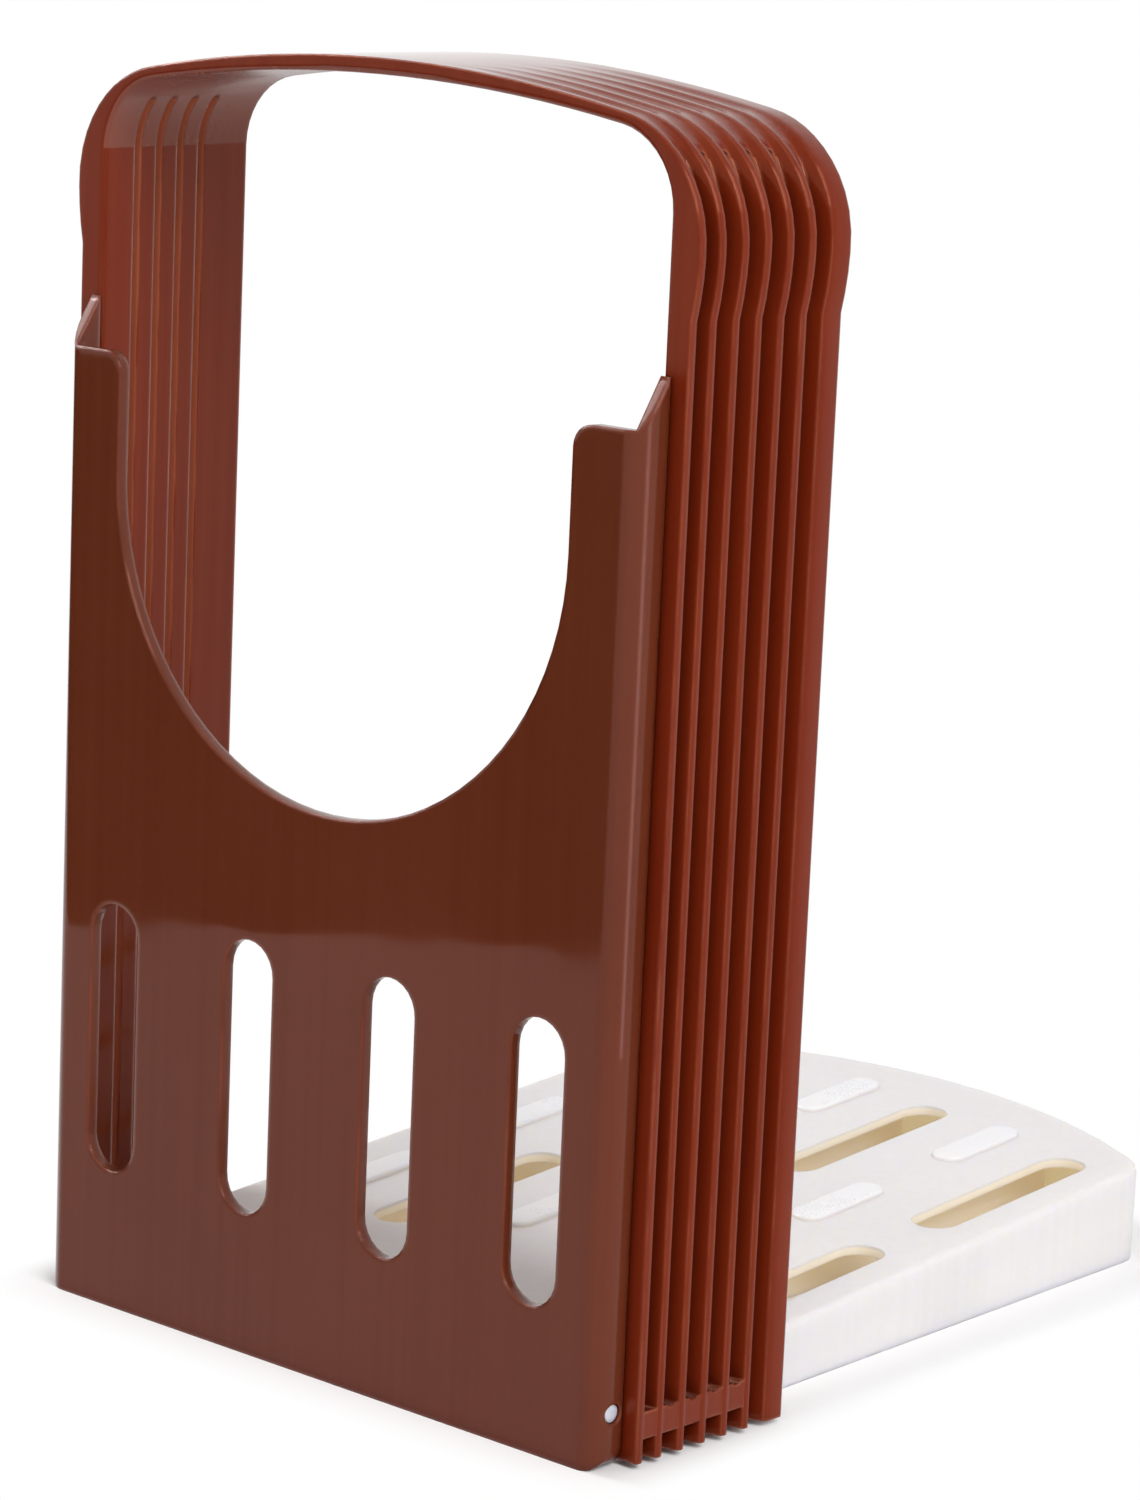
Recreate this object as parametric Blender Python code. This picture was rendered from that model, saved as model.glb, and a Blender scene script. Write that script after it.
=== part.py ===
"""Folding guide for slicing a loaf of bread.

The loaf lies on a white sloping base, pushed through a brown slotted arch until
it meets a brown stop plate. A knife runs down one of the arch's pairs of slits.
The base swings up into the arch on two stub pins, so that the guide packs flat.

Lengths are in metres and angles in radians. The meshes are drawn with X across
the guide, Y as the depth behind the stop plate's front face and Z up from the
table. An empty then carries all of them so that the world origin is on the
table, under the middle of the guide's whole depth.
"""

import math

import bmesh
import bpy
from mathutils import Vector

MM = 0.001

# General fits and helpers
FIT_GAP = 0.3 * MM
CUT_OVERRUN = 4.0 * MM
WELD_DEPTH = 0.8 * MM
SMOOTH_ANGLE = math.radians(32.0)
ARC_STEP = math.radians(15.0)
COARSE_ARC_STEP = math.radians(30.0)

# The two sizes that the frame grows from
PLATE_HALF_WIDTH = 70.0 * MM
ARCH_CREST = 236.4 * MM

# Stop plate: the front panel and the two side walls behind it
PLATE_WALL = 2.4 * MM
SIDE_WALL = 2.2 * MM
PLATE_EDGE_RADIUS = 4.5 * MM
PLATE_INNER_RADIUS = 1.2 * MM
PLATE_FOOT_RADIUS = 3.5 * MM
HORN_DROP = 54.0 * MM
HORN_WIDTH = 15.0 * MM
HORN_CORNER_RADIUS = 4.0 * MM
HAND_SIDE = 22.4 * MM
HAND_STEPS = 40
SIDE_RISE = 8.8 * MM
SIDE_SLOPE_START = 1.0 * MM
WINDOW_COUNT = 4
WINDOW_WIDTH = 12.5 * MM
WINDOW_PITCH_SHARE = 0.504
WINDOW_TOP_SHARE = 0.7505
WINDOW_BOTTOM_SHARE = 0.2543

# Slit arch: an upside-down U of finned wall that widens towards its open back
ARCH_FRONT = 7.1 * MM
ARCH_BACK = 45.7 * MM
ARCH_FOOT = 1.2 * MM
ARCH_FLARE_SHARE = 0.0265
ARCH_CORNER_RADIUS = 14.0 * MM
ARCH_CREST_ROUND_SHARE = 5.16
CROWN_SKIN = 1.8 * MM
CROWN_RISE = 3.0 * MM
FIN_REACH = 3.5 * MM
SHOULDER_REACH = 4.8 * MM
OUTER_CREST_ROUND_SHARE = 4.1
OUTER_CORNER_RADIUS = 22.0 * MM
KNEE_DROP = 35.9 * MM
KNEE_STEPS = 5
CORNER_STEPS = 9
CROWN_STEPS = 9
GROOVE_FADE_START = 20.0 * MM
GROOVE_FADE_END = 50.0 * MM
FIN_THICKNESS = 1.9 * MM
FIN_TIP_RADIUS = 0.7 * MM
GROOVE_LEDGE = 0.2 * MM
RIM_THICKNESS = 5.2 * MM
RIM_TIP_RADIUS = 1.3 * MM
MOUTH_RADIUS = 1.2 * MM

# Knife slits and the bridge across their feet
SLIT_COUNT = 4
SLIT_FIRST = 15.85 * MM
SLIT_PITCH = 5.7 * MM
SLIT_WIDTH = 1.6 * MM
SLIT_TOP_DROP = 8.4 * MM
BRIDGE_BOTTOM = 5.4 * MM
BRIDGE_TOP = 10.3 * MM
BRIDGE_INSET = 0.25 * MM
SLIT_SINK = 0.4 * MM

# Lap joint between the plate's side walls and the arch
TONGUE_BOTTOM = 24.0 * MM
TONGUE_DROP = 6.4 * MM
TONGUE_REACH = 2.4 * MM
TONGUE_WALL = 0.9 * MM
TONGUE_INSET = 0.1 * MM

# Hinge of the base: an ear on each front corner, with a stub pin
PIVOT_DEPTH = 4.5 * MM
PIVOT_HEIGHT = 10.2 * MM
PIN_RADIUS = 1.6 * MM
PIN_SIDES = 24
PIN_RECESS = 0.5 * MM
EAR_RADIUS = 1.7 * MM
EAR_FOOT = 4.0 * MM
EAR_DEPTH = 6.0 * MM
EAR_PROUD = 1.5 * MM

# Base: a thin shell with a sloping top, open underneath
BASE_SIDE_GAP = 3.5 * MM
BASE_LENGTH = 195.0 * MM
BASE_FRONT_HEIGHT = 8.7 * MM
BASE_FAR_HEIGHT = 20.8 * MM
BASE_END_ROUND_SHARE = 1.87
BASE_END_STEPS = 10
BASE_CORNER_RADIUS = 9.0 * MM
BASE_TOE_RADIUS = 3.0 * MM
BASE_WALL = 2.0 * MM
BASE_DECK = 2.2 * MM
BASE_SOFT_EDGE = 1.6 * MM
BASE_EDGE_STEPS = 3
CAVITY_END_STEPS = 8
COLUMN_COUNT = 6
COLUMN_FIRST_SHARE = 0.807
COLUMN_PITCH_SHARE = 0.3157
SLOT_WIDTH = 10.0 * MM
SLOT_LENGTH = 52.0 * MM
SLOT_PITCH = 67.0 * MM
SLOT_END_MARGIN = 25.0 * MM
SLOT_STAGGER = 8.0 * MM
SLOTS_IN_COLUMN = 2
BAR_WIDTH = 7.0 * MM
BAR_LENGTH = 25.0 * MM
BAR_PITCH = 46.0 * MM
BAR_END_MARGIN = 19.0 * MM
BAR_STAGGER = 6.0 * MM
BARS_IN_COLUMN = 3
BAR_HEIGHT = 0.9 * MM
BAR_SOFT_EDGE = 0.5 * MM
BAR_EDGE_STEPS = 2
STIFFENER_WALL = 1.6 * MM

# Sizes that follow from the ones above
INNER_HALF_WIDTH = PLATE_HALF_WIDTH - SIDE_WALL
FIN_HALF_WIDTH = PLATE_HALF_WIDTH + FIN_REACH
SHOULDER_HALF_WIDTH = PLATE_HALF_WIDTH + SHOULDER_REACH
HAND_HALF_WIDTH = PLATE_HALF_WIDTH - HORN_WIDTH
BASE_HALF_WIDTH = INNER_HALF_WIDTH - BASE_SIDE_GAP
OUTER_CREST = ARCH_CREST + CROWN_RISE
ARCH_CREST_RADIUS = INNER_HALF_WIDTH * ARCH_CREST_ROUND_SHARE
OUTER_CREST_RADIUS = SHOULDER_HALF_WIDTH * OUTER_CREST_ROUND_SHARE
BASE_END_RADIUS = BASE_HALF_WIDTH * BASE_END_ROUND_SHARE
KNEE_HEIGHT = ARCH_CREST - KNEE_DROP
SLIT_TOP = ARCH_CREST - SLIT_TOP_DROP
HORN_TOP = ARCH_CREST - HORN_DROP
SIDE_WALL_TOP = HORN_TOP + SIDE_RISE
TONGUE_TOP = HORN_TOP - TONGUE_DROP
HAND_CENTRE = HORN_TOP - HAND_SIDE
HAND_BOTTOM = HAND_CENTRE - HAND_HALF_WIDTH
WINDOW_TOP = HAND_BOTTOM * WINDOW_TOP_SHARE
WINDOW_BOTTOM = HAND_BOTTOM * WINDOW_BOTTOM_SHARE
WINDOW_PITCH = PLATE_HALF_WIDTH * WINDOW_PITCH_SHARE
SIDE_WALL_END = ARCH_FRONT - FIT_GAP
PIVOT_HOLE_RADIUS = PIN_RADIUS + FIT_GAP
BASE_FRONT = PLATE_WALL + FIT_GAP
BASE_SLOPE = (BASE_FAR_HEIGHT - BASE_FRONT_HEIGHT) / BASE_LENGTH
COLUMN_FIRST = BASE_HALF_WIDTH * COLUMN_FIRST_SHARE
COLUMN_PITCH = BASE_HALF_WIDTH * COLUMN_PITCH_SHARE
SLOT_LAST_END = BASE_LENGTH - SLOT_END_MARGIN
BAR_LAST_END = BASE_LENGTH - BAR_END_MARGIN
FAR_OUT = 2.0 * FIN_HALF_WIDTH
FAR_UP = OUTER_CREST + CUT_OVERRUN

BROWN = (0.118, 0.026, 0.011)
BROWN_ROUGHNESS = 0.18
WHITE = (0.80, 0.77, 0.77)
WHITE_ROUGHNESS = 0.42


def clear_scene():
    """Remove whatever the scene holds."""
    for item in list(bpy.data.objects):
        bpy.data.objects.remove(item, do_unlink=True)


def plastic(name, colour, roughness):
    """Return a plain moulded-plastic material."""
    material = bpy.data.materials.new(name)
    material.use_nodes = True
    shader = material.node_tree.nodes["Principled BSDF"]
    shader.inputs["Base Color"].default_value = (*colour, 1.0)
    shader.inputs["Roughness"].default_value = roughness
    shader.inputs["Metallic"].default_value = 0.0
    return material


def arc(centre, radius, start, end, step_angle=ARC_STEP):
    """Return the points of an arc in the plane, both ends included."""
    steps = max(2, round(abs(end - start) / step_angle))
    points = []
    for step in range(steps + 1):
        angle = start + (end - start) * step / steps
        points.append((centre[0] + radius * math.cos(angle), centre[1] + radius * math.sin(angle)))
    return points


def stadium(centre, width, length):
    """Return the outline of an upright slot with full round ends."""
    radius = width / 2
    rise = length / 2 - radius
    upper = arc((centre[0], centre[1] + rise), radius, 0.0, math.pi)
    lower = arc((centre[0], centre[1] - rise), radius, math.pi, 2 * math.pi)
    return upper + lower


def prism(outline, axis, start, end):
    """Return a bmesh of an outline pushed along X, Y or Z.

    start and end are places on the axis, or functions of the outline's point.
    """
    def place(point, distance):
        along = distance(point) if callable(distance) else distance
        spot = list(point)
        spot.insert("XYZ".index(axis), along)
        return Vector(spot)

    mesh = bmesh.new()
    near = [mesh.verts.new(place(point, start)) for point in outline]
    far = [mesh.verts.new(place(point, end)) for point in outline]
    count = len(outline)
    mesh.faces.new(near)
    mesh.faces.new(list(reversed(far)))
    for index in range(count):
        following = (index + 1) % count
        mesh.faces.new((near[index], far[index], far[following], near[following]))
    bmesh.ops.recalc_face_normals(mesh, faces=mesh.faces)
    return mesh


def rod(centre, radius, start, end):
    """Return a bmesh of a round rod along X; centre is its depth and height."""
    outline = []
    for side in range(PIN_SIDES):
        angle = 2 * math.pi * side / PIN_SIDES
        outline.append((centre[0] + radius * math.cos(angle), centre[1] + radius * math.sin(angle)))
    return prism(outline, "X", start, end)


def gather(pieces):
    """Return one bmesh that holds several closed bodies."""
    whole = bmesh.new()
    for piece in pieces:
        mesh = bpy.data.meshes.new("gathered")
        piece.to_mesh(mesh)
        piece.free()
        whole.from_mesh(mesh)
        bpy.data.meshes.remove(mesh)
    return whole


def add_object(name, mesh, parent, material=None):
    """Put a bmesh into the scene as a named object."""
    data = bpy.data.meshes.new(name)
    mesh.to_mesh(data)
    mesh.free()
    item = bpy.data.objects.new(name, data)
    bpy.context.collection.objects.link(item)
    item.parent = parent
    if material is not None:
        data.materials.append(material)
    return item


def shape_with(target, mesh, operation):
    """Cut a tool out of an object, or weld it on, and keep the result as its mesh."""
    tool = add_object(target.name + "_tool", mesh, target.parent)
    tool.hide_render = True
    tool.display_type = "WIRE"
    tool.location = target.location
    modifier = target.modifiers.new("shape", "BOOLEAN")
    modifier.operation = operation
    modifier.solver = "EXACT"
    modifier.object = tool
    bpy.context.view_layer.update()
    graph = bpy.context.evaluated_depsgraph_get()
    result = bpy.data.meshes.new_from_object(target.evaluated_get(graph))
    previous = target.data
    target.modifiers.clear()
    target.data = result
    bpy.data.meshes.remove(previous)
    bpy.data.objects.remove(tool, do_unlink=True)
    result.name = target.name


def finish(target):
    """Shade an object smooth, with its real edges kept sharp."""
    target.data.shade_smooth()
    target.data.set_sharp_from_angle(angle=SMOOTH_ANGLE)


class CrownedEnd:
    """Half an outline: a straight side, a round corner and a wide arc over the middle.

    The corner's circle touches both the side and the wide arc.
    """

    def __init__(self, half_width, crest, crest_radius, corner_radius):
        self.half_width = half_width
        self.crest_radius = crest_radius
        self.corner_radius = corner_radius
        self.corner_x = half_width - corner_radius
        self.middle = crest - crest_radius
        self.corner_y = self.middle + math.sqrt((crest_radius - corner_radius) ** 2 - self.corner_x ** 2)
        self.turn = math.atan2(self.corner_y - self.middle, self.corner_x)

    def reach(self, x):
        """Return how far the outline goes at a place across it."""
        aside = abs(x)
        if aside <= self.crest_radius * math.cos(self.turn):
            return self.middle + math.sqrt(self.crest_radius ** 2 - aside ** 2)
        beside = min(aside - self.corner_x, self.corner_radius)
        return self.corner_y + math.sqrt(self.corner_radius ** 2 - beside ** 2)

    def outline(self, steps):
        """Return the outline's points from the right side over the middle to the left."""
        points = arc((self.corner_x, self.corner_y), self.corner_radius, 0.0, self.turn)
        right = self.turn
        for step in range(1, steps):
            angle = right + (math.pi - 2 * right) * step / steps
            points.append((self.crest_radius * math.cos(angle),
                           self.middle + self.crest_radius * math.sin(angle)))
        points += [(-x, y) for x, y in reversed(points[:-(steps - 1)])]
        return points


def distance_to_circle(origin, direction, centre, radius):
    """Return how far a ray runs before it leaves a circle, or None where it passes by."""
    offset = origin - centre
    along = offset.dot(direction)
    square = along ** 2 - offset.length_squared + radius ** 2
    return -along + math.sqrt(square) if square > 0 else None


# Slit arch

ARCH_INSIDE = CrownedEnd(INNER_HALF_WIDTH, ARCH_CREST, ARCH_CREST_RADIUS, ARCH_CORNER_RADIUS)
ARCH_OUTSIDE = CrownedEnd(SHOULDER_HALF_WIDTH, OUTER_CREST, OUTER_CREST_RADIUS, OUTER_CORNER_RADIUS)


def leg_outside(height):
    """Return the half width over the fins of a leg at a height."""
    if height >= ARCH_OUTSIDE.corner_y:
        rise = height - ARCH_OUTSIDE.corner_y
        return ARCH_OUTSIDE.corner_x + math.sqrt(OUTER_CORNER_RADIUS ** 2 - rise ** 2)
    if height <= KNEE_HEIGHT:
        return FIN_HALF_WIDTH
    share = (ARCH_OUTSIDE.corner_y - height) / (ARCH_OUTSIDE.corner_y - KNEE_HEIGHT)
    return SHOULDER_HALF_WIDTH - (SHOULDER_HALF_WIDTH - FIN_HALF_WIDTH) * share ** 2


def outside_distance(origin, direction):
    """Return how far a ray from inside the arch runs to the tips of its fins."""
    corner = Vector((ARCH_OUTSIDE.corner_x, ARCH_OUTSIDE.corner_y))
    distance = distance_to_circle(origin, direction, corner, OUTER_CORNER_RADIUS)
    if distance is not None:
        spot = origin + direction * distance - corner
        if math.atan2(spot.y, spot.x) <= ARCH_OUTSIDE.turn:
            return distance
    middle = Vector((0.0, ARCH_OUTSIDE.middle))
    return distance_to_circle(origin, direction, middle, OUTER_CREST_RADIUS)


def arch_stations():
    """Return the arch's cross-sections from its right foot to the middle of its crown.

    Each is an inner point, an outward direction, the whole thickness and the depth
    of the grooves there.
    """
    stations = []
    spring = ARCH_INSIDE.corner_y
    heights = [ARCH_FOOT] + [KNEE_HEIGHT + (spring - KNEE_HEIGHT) * step / KNEE_STEPS
                             for step in range(KNEE_STEPS)]
    for height in heights:
        thickness = leg_outside(height) - INNER_HALF_WIDTH
        stations.append((Vector((INNER_HALF_WIDTH, height)), Vector((1.0, 0.0)),
                         thickness, thickness - SIDE_WALL))
    corner = Vector((ARCH_INSIDE.corner_x, ARCH_INSIDE.corner_y))
    for step in range(CORNER_STEPS + 1):
        angle = ARCH_INSIDE.turn * step / CORNER_STEPS
        direction = Vector((math.cos(angle), math.sin(angle)))
        thickness = outside_distance(corner, direction) - ARCH_CORNER_RADIUS
        skin = SIDE_WALL + (CROWN_SKIN - SIDE_WALL) * math.sin(angle)
        stations.append((corner + direction * ARCH_CORNER_RADIUS, direction, thickness, thickness - skin))
    middle = Vector((0.0, ARCH_INSIDE.middle))
    for step in range(1, CROWN_STEPS + 1):
        angle = ARCH_INSIDE.turn + (math.pi / 2 - ARCH_INSIDE.turn) * step / CROWN_STEPS
        direction = Vector((math.cos(angle), math.sin(angle)))
        thickness = outside_distance(middle, direction) - ARCH_CREST_RADIUS
        inner = middle + direction * ARCH_CREST_RADIUS
        fade = (inner.x - GROOVE_FADE_START) / (GROOVE_FADE_END - GROOVE_FADE_START)
        fade = min(max(fade, 0.0), 1.0)
        stations.append((inner, direction, thickness, (thickness - CROWN_SKIN) * fade))
    return stations


def tip_corner(depth, inward, radius, thickness, groove):
    """Return a fin's rounded tip corner as heights and depths, from the flank to the top.

    inward is 1 where the fin lies at greater depth than the corner, and -1 otherwise.
    """
    drop = min(radius, groove / 2)
    points = []
    for turn in (0.0, math.pi / 4, math.pi / 2):
        points.append((thickness - drop * (1 - math.sin(turn)),
                       depth + inward * radius * (1 - math.cos(turn))))
    return points


def arch_section(thickness, groove):
    """Return the arch's closed cross-section as points of height above the inside and depth."""
    floor = thickness - groove
    draft = (SLIT_PITCH - SLIT_WIDTH - FIN_THICKNESS) / 2 - GROOVE_LEDGE
    section = arc((MOUTH_RADIUS, ARCH_FRONT + MOUTH_RADIUS), MOUTH_RADIUS, -math.pi / 2, -math.pi,
                  COARSE_ARC_STEP)
    section.append((0.0, ARCH_BACK))
    rim_start = ARCH_BACK - RIM_THICKNESS
    section += tip_corner(ARCH_BACK, -1, FIN_TIP_RADIUS, thickness, groove)
    section += reversed(tip_corner(rim_start, 1, RIM_TIP_RADIUS, thickness, groove))
    section.append((floor, rim_start - draft))
    for fin in reversed(range(SLIT_COUNT + 1)):
        centre = SLIT_FIRST + SLIT_PITCH * (fin - 0.5)
        low = centre - FIN_THICKNESS / 2
        high = centre + FIN_THICKNESS / 2
        section.append((floor, high + draft))
        section += tip_corner(high, -1, FIN_TIP_RADIUS, thickness, groove)
        section += reversed(tip_corner(low, 1, FIN_TIP_RADIUS, thickness, groove))
        section.append((floor, low - draft))
    section.append((floor, ARCH_FRONT + FIN_THICKNESS + draft))
    section += tip_corner(ARCH_FRONT + FIN_THICKNESS, -1, FIN_TIP_RADIUS, thickness, groove)
    section += reversed(tip_corner(ARCH_FRONT, 1, FIN_TIP_RADIUS / 2, thickness, groove))
    return section


def flared(across, depth):
    """Return a place across the arch, moved outwards by the arch's flare at a depth."""
    return across * (1 + ARCH_FLARE_SHARE * (depth - ARCH_FRONT) / (ARCH_BACK - ARCH_FRONT))


def arch_body():
    """Return a bmesh of the finned arch before its slits are cut."""
    right = arch_stations()
    left = []
    for inner, direction, thickness, groove in reversed(right[:-1]):
        left.append((Vector((-inner.x, inner.y)), Vector((-direction.x, direction.y)), thickness, groove))
    mesh = bmesh.new()
    rings = []
    for inner, direction, thickness, groove in right + left:
        ring = []
        for height, depth in arch_section(thickness, groove):
            spot = inner + direction * height
            ring.append(mesh.verts.new((flared(spot.x, depth), depth, spot.y)))
        rings.append(ring)
    for before, after in zip(rings, rings[1:]):
        for index in range(len(before)):
            following = (index + 1) % len(before)
            mesh.faces.new((before[index], before[following], after[following], after[index]))
    mesh.faces.new(rings[0])
    mesh.faces.new(rings[-1])
    bmesh.ops.recalc_face_normals(mesh, faces=mesh.faces)
    return mesh


def slit_cutters():
    """Return the blades that open the knife slits through both legs."""
    blades = []
    floor = BRIDGE_TOP - SLIT_SINK
    for slit in range(SLIT_COUNT):
        depth = SLIT_FIRST + SLIT_PITCH * slit
        outline = [(depth - SLIT_WIDTH / 2, floor), (depth + SLIT_WIDTH / 2, floor)]
        outline += arc((depth, SLIT_TOP - SLIT_WIDTH / 2), SLIT_WIDTH / 2, 0.0, math.pi)
        blades.append(prism(outline, "X", -FAR_OUT, FAR_OUT))
    return gather(blades)


def side_blocks(spans, heights):
    """Return a block on each side of the guide.

    spans holds two depths, each with the inner and the outer place across the guide there.
    """
    pieces = []
    for side in (-1, 1):
        (near, near_in, near_out), (far, far_in, far_out) = spans
        plan = [(side * near_in, near), (side * near_out, near), (side * far_out, far), (side * far_in, far)]
        pieces.append(prism(plan, "Z", heights[0], heights[1]))
    return gather(pieces)


def make_slit_arch(parent, material):
    """Model the finned arch with its slits, foot bridges and lap tongues."""
    arch = add_object("slit_arch", arch_body(), parent, material)
    spans = []
    for depth in (ARCH_FRONT + FIN_THICKNESS / 2, SLIT_FIRST + SLIT_PITCH * (SLIT_COUNT - 0.5)):
        spans.append((depth, flared(PLATE_HALF_WIDTH - WELD_DEPTH, depth),
                      flared(FIN_HALF_WIDTH - BRIDGE_INSET, depth)))
    shape_with(arch, side_blocks(spans, (BRIDGE_BOTTOM, BRIDGE_TOP)), "UNION")
    tongue_in = INNER_HALF_WIDTH + TONGUE_INSET
    spans = [(depth, tongue_in, tongue_in + TONGUE_WALL)
             for depth in (ARCH_FRONT - TONGUE_REACH, ARCH_FRONT + WELD_DEPTH)]
    shape_with(arch, side_blocks(spans, (TONGUE_BOTTOM, TONGUE_TOP)), "UNION")
    shape_with(arch, slit_cutters(), "DIFFERENCE")
    finish(arch)
    return arch


# Stop plate

def side_rods(radius, inner, outer):
    """Return a round rod on the hinge's axis at each side of the guide."""
    centre = (PIVOT_DEPTH, PIVOT_HEIGHT)
    return gather([rod(centre, radius, side * inner, side * outer) for side in (-1, 1)])


def plate_channel():
    """Return a bmesh of the plate's channel section, pushed up to its full height."""
    wide = PLATE_HALF_WIDTH
    edge = PLATE_EDGE_RADIUS
    inner = PLATE_INNER_RADIUS
    inner_x = INNER_HALF_WIDTH - inner
    inner_y = PLATE_WALL + inner
    outline = arc((-wide + edge, edge), edge, math.pi, 1.5 * math.pi)
    outline += arc((wide - edge, edge), edge, 1.5 * math.pi, 2 * math.pi)
    outline += [(wide, SIDE_WALL_END), (INNER_HALF_WIDTH, SIDE_WALL_END)]
    outline += arc((inner_x, inner_y), inner, 0.0, -math.pi / 2)
    outline += arc((-inner_x, inner_y), inner, -math.pi / 2, -math.pi)
    outline += [(-INNER_HALF_WIDTH, SIDE_WALL_END), (-wide, SIDE_WALL_END)]
    return prism(outline, "Z", 0.0, SIDE_WALL_TOP)


def hand_cutter():
    """Return the tool that opens the hand cut-out and levels the two horns."""
    horn = HORN_CORNER_RADIUS
    corner_x = HAND_HALF_WIDTH + horn
    corner_z = HORN_TOP - horn
    outline = [(INNER_HALF_WIDTH, FAR_UP), (-INNER_HALF_WIDTH, FAR_UP), (-INNER_HALF_WIDTH, HORN_TOP)]
    outline += arc((-corner_x, corner_z), horn, math.pi / 2, 0.0)
    for step in range(HAND_STEPS + 1):
        angle = math.pi + math.pi * step / HAND_STEPS
        outline.append((HAND_HALF_WIDTH * math.cos(angle), HAND_CENTRE + HAND_HALF_WIDTH * math.sin(angle)))
    outline += arc((corner_x, corner_z), horn, math.pi, math.pi / 2)
    outline.append((INNER_HALF_WIDTH, HORN_TOP))
    return prism(outline, "Y", -CUT_OVERRUN, PLATE_WALL + PLATE_INNER_RADIUS + FIT_GAP)


def slope_cutter():
    """Return the tool that slopes the tops of the side walls."""
    slope = (SIDE_WALL_TOP - HORN_TOP) / (SIDE_WALL_END - SIDE_SLOPE_START)
    beyond = SIDE_WALL_END + CUT_OVERRUN
    outline = [(-CUT_OVERRUN, HORN_TOP), (SIDE_SLOPE_START, HORN_TOP),
               (beyond, SIDE_WALL_TOP + slope * CUT_OVERRUN), (beyond, FAR_UP), (-CUT_OVERRUN, FAR_UP)]
    return prism(outline, "X", -FAR_OUT, FAR_OUT)


def foot_cutters():
    """Return the tools that round the plate's two lower corners."""
    tools = []
    radius = PLATE_FOOT_RADIUS
    for side in (-1, 1):
        outline = [(PLATE_HALF_WIDTH + CUT_OVERRUN, radius)]
        outline += arc((PLATE_HALF_WIDTH - radius, radius), radius, 0.0, -math.pi / 2)
        outline += [(PLATE_HALF_WIDTH - radius, -CUT_OVERRUN),
                    (PLATE_HALF_WIDTH + CUT_OVERRUN, -CUT_OVERRUN)]
        outline = [(side * x, z) for x, z in outline]
        tools.append(prism(outline, "Y", -CUT_OVERRUN, SIDE_WALL_END + CUT_OVERRUN))
    return gather(tools)


def window_cutters():
    """Return the tools for the row of upright windows in the panel."""
    tools = []
    height = (WINDOW_BOTTOM + WINDOW_TOP) / 2
    for window in range(WINDOW_COUNT):
        across = WINDOW_PITCH * (window - (WINDOW_COUNT - 1) / 2)
        outline = stadium((across, height), WINDOW_WIDTH, WINDOW_TOP - WINDOW_BOTTOM)
        tools.append(prism(outline, "Y", -CUT_OVERRUN, PLATE_WALL + CUT_OVERRUN))
    return gather(tools)


def make_stop_plate(parent, material):
    """Model the stop plate with its side walls, cut-out, windows and pivot holes."""
    plate = add_object("stop_plate", plate_channel(), parent, material)
    shape_with(plate, hand_cutter(), "DIFFERENCE")
    shape_with(plate, slope_cutter(), "DIFFERENCE")
    shape_with(plate, foot_cutters(), "DIFFERENCE")
    shape_with(plate, window_cutters(), "DIFFERENCE")
    rebate_in = INNER_HALF_WIDTH - CUT_OVERRUN
    rebate_out = INNER_HALF_WIDTH + TONGUE_INSET + TONGUE_WALL + FIT_GAP
    spans = [(depth, rebate_in, rebate_out)
             for depth in (ARCH_FRONT - TONGUE_REACH - FIT_GAP, SIDE_WALL_END + CUT_OVERRUN)]
    rebates = side_blocks(spans, (TONGUE_BOTTOM - FIT_GAP, TONGUE_TOP + FIT_GAP))
    shape_with(plate, rebates, "DIFFERENCE")
    shape_with(plate, side_rods(PIVOT_HOLE_RADIUS, rebate_in, FAR_OUT), "DIFFERENCE")
    finish(plate)
    return plate


# Base

BASE_PLAN = CrownedEnd(BASE_HALF_WIDTH, BASE_LENGTH, BASE_END_RADIUS, BASE_CORNER_RADIUS)
CAVITY_PLAN = CrownedEnd(BASE_HALF_WIDTH - BASE_WALL, BASE_LENGTH - BASE_WALL,
                         BASE_END_RADIUS - BASE_WALL, BASE_CORNER_RADIUS - BASE_WALL)


def deck(lift):
    """Return the height of the base's sloping top, raised by a lift, over a point in plan."""
    return lambda point: BASE_FRONT_HEIGHT + BASE_SLOPE * point[1] + lift


def base_block():
    """Return a bmesh of the base's outer form with its upper edges rounded."""
    outline = BASE_PLAN.outline(BASE_END_STEPS)
    outline += [(-BASE_HALF_WIDTH, BASE_FRONT), (BASE_HALF_WIDTH, BASE_FRONT)]
    mesh = prism(outline, "Z", 0.0, deck(0.0))
    mesh.faces.ensure_lookup_table()
    top = max(mesh.faces, key=lambda face: face.normal.z)
    rims = [edge for edge in top.edges if max(vert.co.y for vert in edge.verts) > BASE_FRONT + CUT_OVERRUN]
    bmesh.ops.bevel(mesh, geom=rims, offset=BASE_SOFT_EDGE, segments=BASE_EDGE_STEPS, profile=0.5,
                    affect="EDGES")
    return mesh


def toe_cutter():
    """Return the tool that rounds the base's lower front edge."""
    radius = BASE_TOE_RADIUS
    outline = [(BASE_FRONT - CUT_OVERRUN, radius)]
    outline += arc((BASE_FRONT + radius, radius), radius, math.pi, 1.5 * math.pi)
    outline += [(BASE_FRONT + radius, -CUT_OVERRUN), (BASE_FRONT - CUT_OVERRUN, -CUT_OVERRUN)]
    return prism(outline, "X", -FAR_OUT, FAR_OUT)


def column_place(column):
    """Return how far across the base a column of slots or bars stands."""
    return COLUMN_FIRST - COLUMN_PITCH * column


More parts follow.
